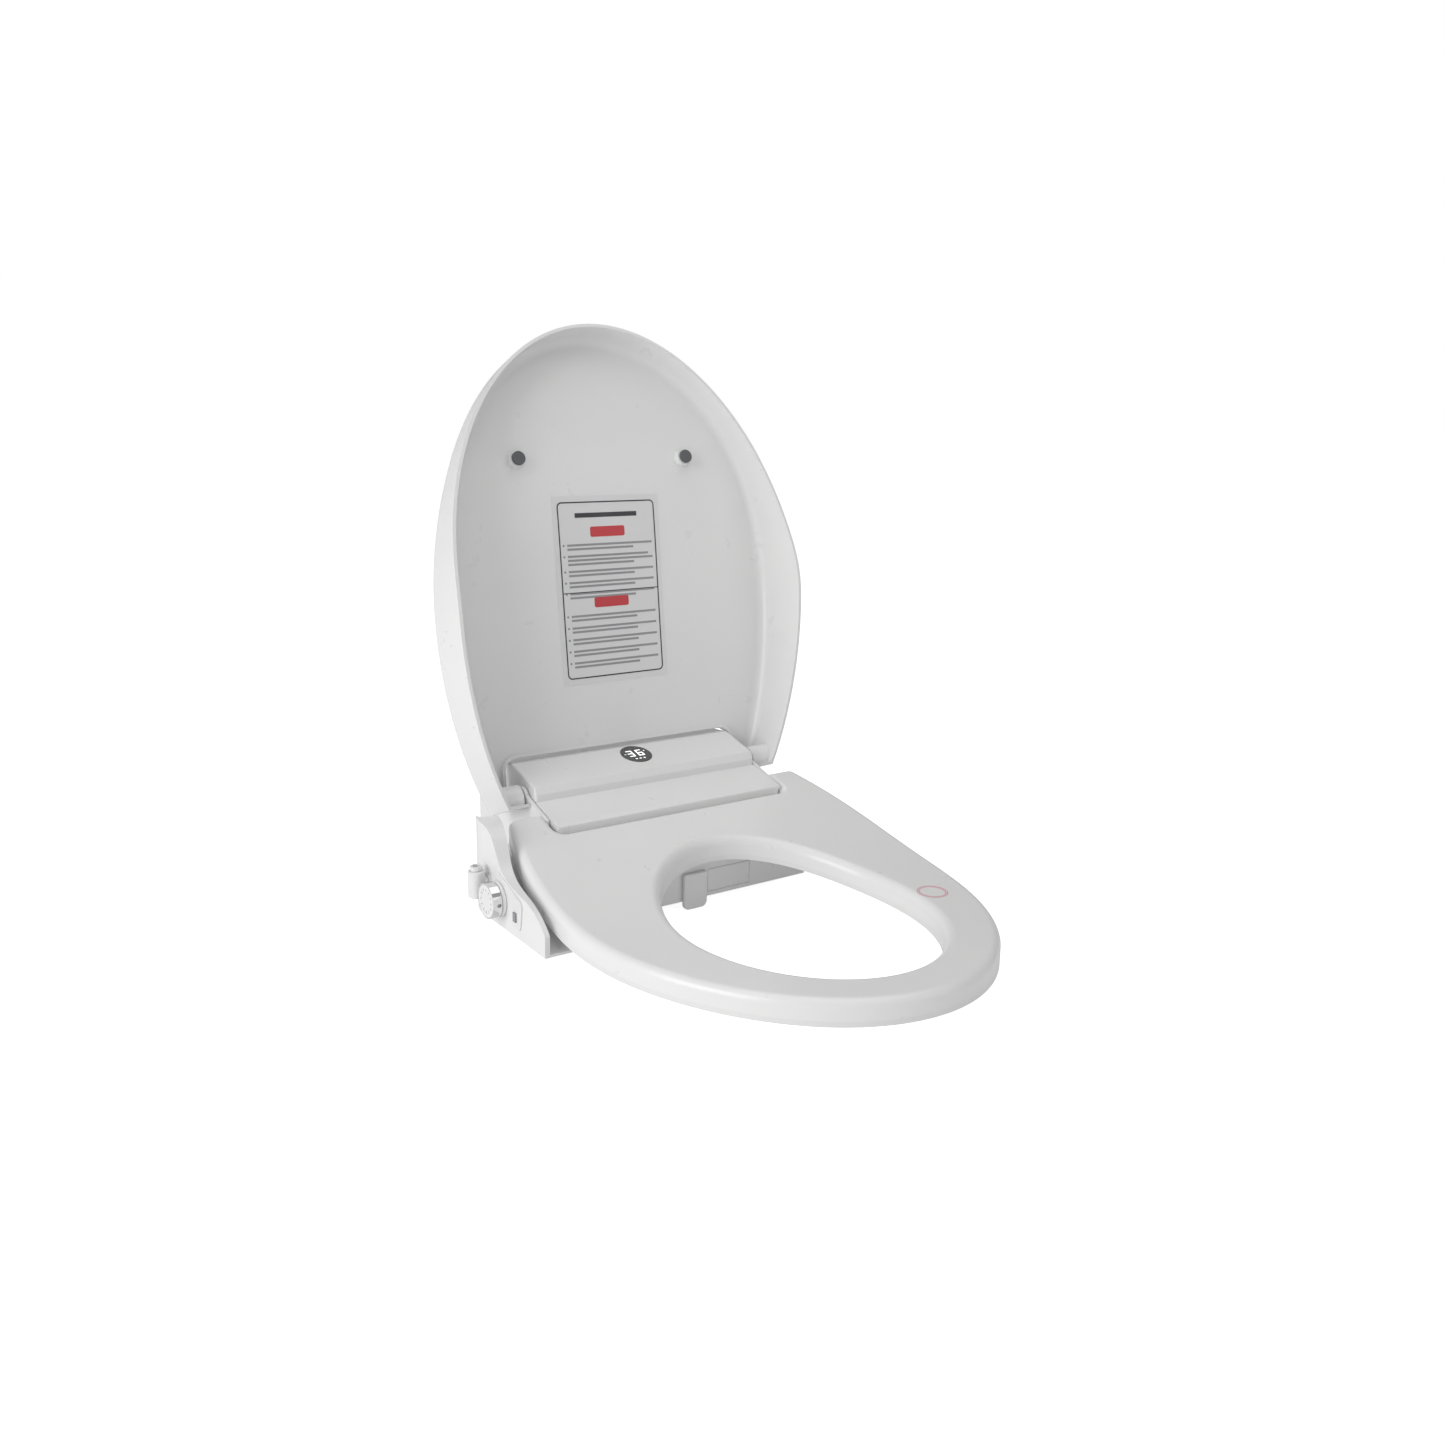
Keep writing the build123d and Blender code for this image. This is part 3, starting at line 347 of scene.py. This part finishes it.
def segment_bars(left, low, width, high, thick):
    """The seven bars of a digit, as plan rectangles by letter."""
    mid = low + high / 2
    gap = 0.25
    right = left + width
    return {
        "a": bar(left + gap, right - gap, low + high - thick, low + high),
        "g": bar(left + gap, right - gap, mid - thick / 2, mid + thick / 2),
        "d": bar(left + gap, right - gap, low, low + thick),
        "f": bar(left, left + thick, mid + gap, low + high - gap),
        "b": bar(right - thick, right, mid + gap, low + high - gap),
        "e": bar(left, left + thick, low + gap, mid - gap),
        "c": bar(right - thick, right, low + gap, mid - gap),
    }


def display_print():
    """The two digits and the small marks on the display."""
    z = BOX_TOP_Z + BOX_SLOPE * (DISPLAY_Y - BOX_TOP_Y)
    place = Matrix.Translation((DISPLAY_X, DISPLAY_Y, z)) @ Matrix.Rotation(math.atan(BOX_SLOPE), 4, "X")
    bm = bmesh.new()
    for digit, left in (("3", -9.0), ("6", 1.5)):
        bars = segment_bars(left, -4.2, 6.6, 11.4, 1.5)
        for letter in SEGMENTS[digit]:
            add_slab(bm, bars[letter], *DIGIT_SPAN)
    for x in (-4.5, 0.0, 4.5):
        add_slab(bm, rounded(x - 1.2, x + 1.2, -9.6, -8.2, 0.5, 3), *DIGIT_SPAN)
    add_slab(bm, bar(-12.6, -10.6, 1.0, 1.7), *DIGIT_SPAN)
    add_slab(bm, rounded(10.4, 11.8, 3.4, 4.8, 0.6, 3), *DIGIT_SPAN)
    piece("display_digits", mesh_from(bm, "display_digits", place, False), digit_white, "base")


# ====================================================================== knob
def knob_marks():
    """Ticks round the knob's face."""
    face_x = min(vert.co.x for vert in NODES["knob_face"].data.vertices) / MM
    place = Matrix(((0, 0, -1, face_x), (-1, 0, 0, KNOB[0]), (0, 1, 0, KNOB[1]), (0, 0, 0, 1)))
    bm = bmesh.new()
    ticks = 12
    inner = 8.6
    outer = 11.0
    half_thick = 0.35
    for tick in range(ticks):
        turn = math.radians(360 / ticks * tick)
        across = Vector((-math.sin(turn), math.cos(turn))) * half_thick
        out = Vector((math.cos(turn), math.sin(turn)))
        corners = (out * inner - across, out * outer - across, out * outer + across, out * inner + across)
        add_slab(bm, [tuple(corner) for corner in corners], *TICK_SPAN)
    piece("knob_ticks", mesh_from(bm, "knob_ticks", place, False), grey_ink, "knob")


# ================================================================= seat marks
def seat_top(y):
    """Height of the seat's top surface."""
    bend = SEAT_BEND_SOFT * math.log1p(math.exp((y - SEAT_BEND_Y) / SEAT_BEND_SOFT))
    return SEAT_FRONT_TOP + SEAT_RISE * bend


def sensor_mark():
    """Two thin rings that mark where the occupancy sensor is."""
    x, y = SENSOR
    slope = (seat_top(y + 5) - seat_top(y - 5)) / 10
    place = Matrix.Translation((x, y, seat_top(y))) @ Matrix.Rotation(math.atan(slope), 4, "X")
    bm = bmesh.new()
    for radius, thick in ((13.4, 0.55), (11.6, 0.4)):
        add_frame(bm, ring_points(radius), ring_points(radius - thick), PRINT_LOW, RING_HIGH)
    mesh = mesh_from(bm, "sensor_mark", place, False, "seat_top_shell")
    piece("sensor_mark", mesh, pink_ink, "seat")


# ======================================================= studio, floor, camera
def area_light(name, place, aim, size, power):
    """A white rectangle of light that faces the point aim."""
    light = bpy.data.lights.new(name, "AREA")
    light.shape = "RECTANGLE"
    light.size, light.size_y = size
    light.energy = power
    obj = bpy.data.objects.new(name, light)
    bpy.context.scene.collection.objects.link(obj)
    obj.location = place
    direction = Vector(aim) - Vector(place)
    obj.rotation_euler = direction.to_track_quat("-Z", "Y").to_euler()


def brighter_to_camera(tree, light, seen, socket):
    """The backdrop is white to look at, but lights the object less."""
    path = tree.nodes.new("ShaderNodeLightPath")
    spread = tree.nodes.new("ShaderNodeMapRange")
    spread.inputs["To Min"].default_value = light
    spread.inputs["To Max"].default_value = seen
    tree.links.new(path.outputs["Is Camera Ray"], spread.inputs["Value"])
    tree.links.new(spread.outputs["Result"], socket)


def studio():
    """The lights and the white surroundings."""
    area_light("key_left", (-2.2, -0.5, 0.9), (0.0, -0.15, 0.1), (1.6, 1.6), 30)
    area_light("top_soft", (0.1, -0.5, 2.2), (0.0, -0.2, 0.0), (2.2, 2.0), 13)
    area_light("front_right", (1.3, -2.2, 0.9), (0.0, -0.1, 0.2), (1.2, 1.2), 3)
    world = bpy.data.worlds.new("studio")
    world.use_nodes = True
    background = world.node_tree.nodes["Background"]
    background.inputs["Color"].default_value = (1.0, 1.0, 1.0, 1.0)
    brighter_to_camera(world.node_tree, 0.36, 1.0, background.inputs["Strength"])
    bpy.context.scene.world = world
    bpy.context.scene.view_settings.view_transform = "Standard"


def pale_floor():
    """A wide white floor just under the object."""
    bm = bmesh.new()
    half = 9.0
    bm.faces.new([bm.verts.new((x, y, 0)) for x, y in bar(-half, half, -half, half)])
    mesh = bpy.data.meshes.new("floor")
    bm.to_mesh(mesh)
    bm.free()
    material, tree, shader = new_material("pale_floor")
    coloured(tree, shader, (0.86, 0.86, 0.86), (0.87, 0.87, 0.87), 0.5)
    shader.inputs["Roughness"].default_value = 0.9
    shader.inputs["Emission Color"].default_value = (1.0, 1.0, 1.0, 1.0)
    brighter_to_camera(tree, 0.1, 0.8, shader.inputs["Emission Strength"])
    mesh.materials.append(material)
    floor = bpy.data.objects.new("floor", mesh)
    floor.location = (0, 0, cad_box[0][2] - 0.001)
    bpy.context.scene.collection.objects.link(floor)


def make_camera():
    """A camera to the left of the nose and a little above the seat."""
    azimuth = math.radians(-34.56)
    elevation = math.radians(12.61)
    roll = math.radians(0.76)
    distance = 1.12129
    target = Vector((-0.03296, -0.1735, 0.19307))
    forward = Vector((-math.sin(azimuth) * math.cos(elevation), math.cos(azimuth) * math.cos(elevation),
                      -math.sin(elevation)))
    right = Vector((math.cos(azimuth), math.sin(azimuth), 0.0))
    up = right.cross(forward)
    right_rolled = right * math.cos(roll) + up * math.sin(roll)
    up_rolled = up * math.cos(roll) - right * math.sin(roll)
    camera = bpy.data.cameras.new("camera")
    camera.sensor_width = 36.0
    camera.lens = 32.47
    camera.shift_x = 0.01446
    camera.shift_y = -0.01586
    camera.clip_start = 0.05
    obj = bpy.data.objects.new("camera", camera)
    bpy.context.scene.collection.objects.link(obj)
    axes = Matrix((right_rolled, up_rolled, -forward)).transposed().to_4x4()
    obj.matrix_world = Matrix.Translation(target - forward * distance) @ axes
    bpy.context.scene.camera = obj


make_camera()
studio()
pale_floor()
dress_nodes()
card_print()
display_print()
knob_marks()
sensor_mark()
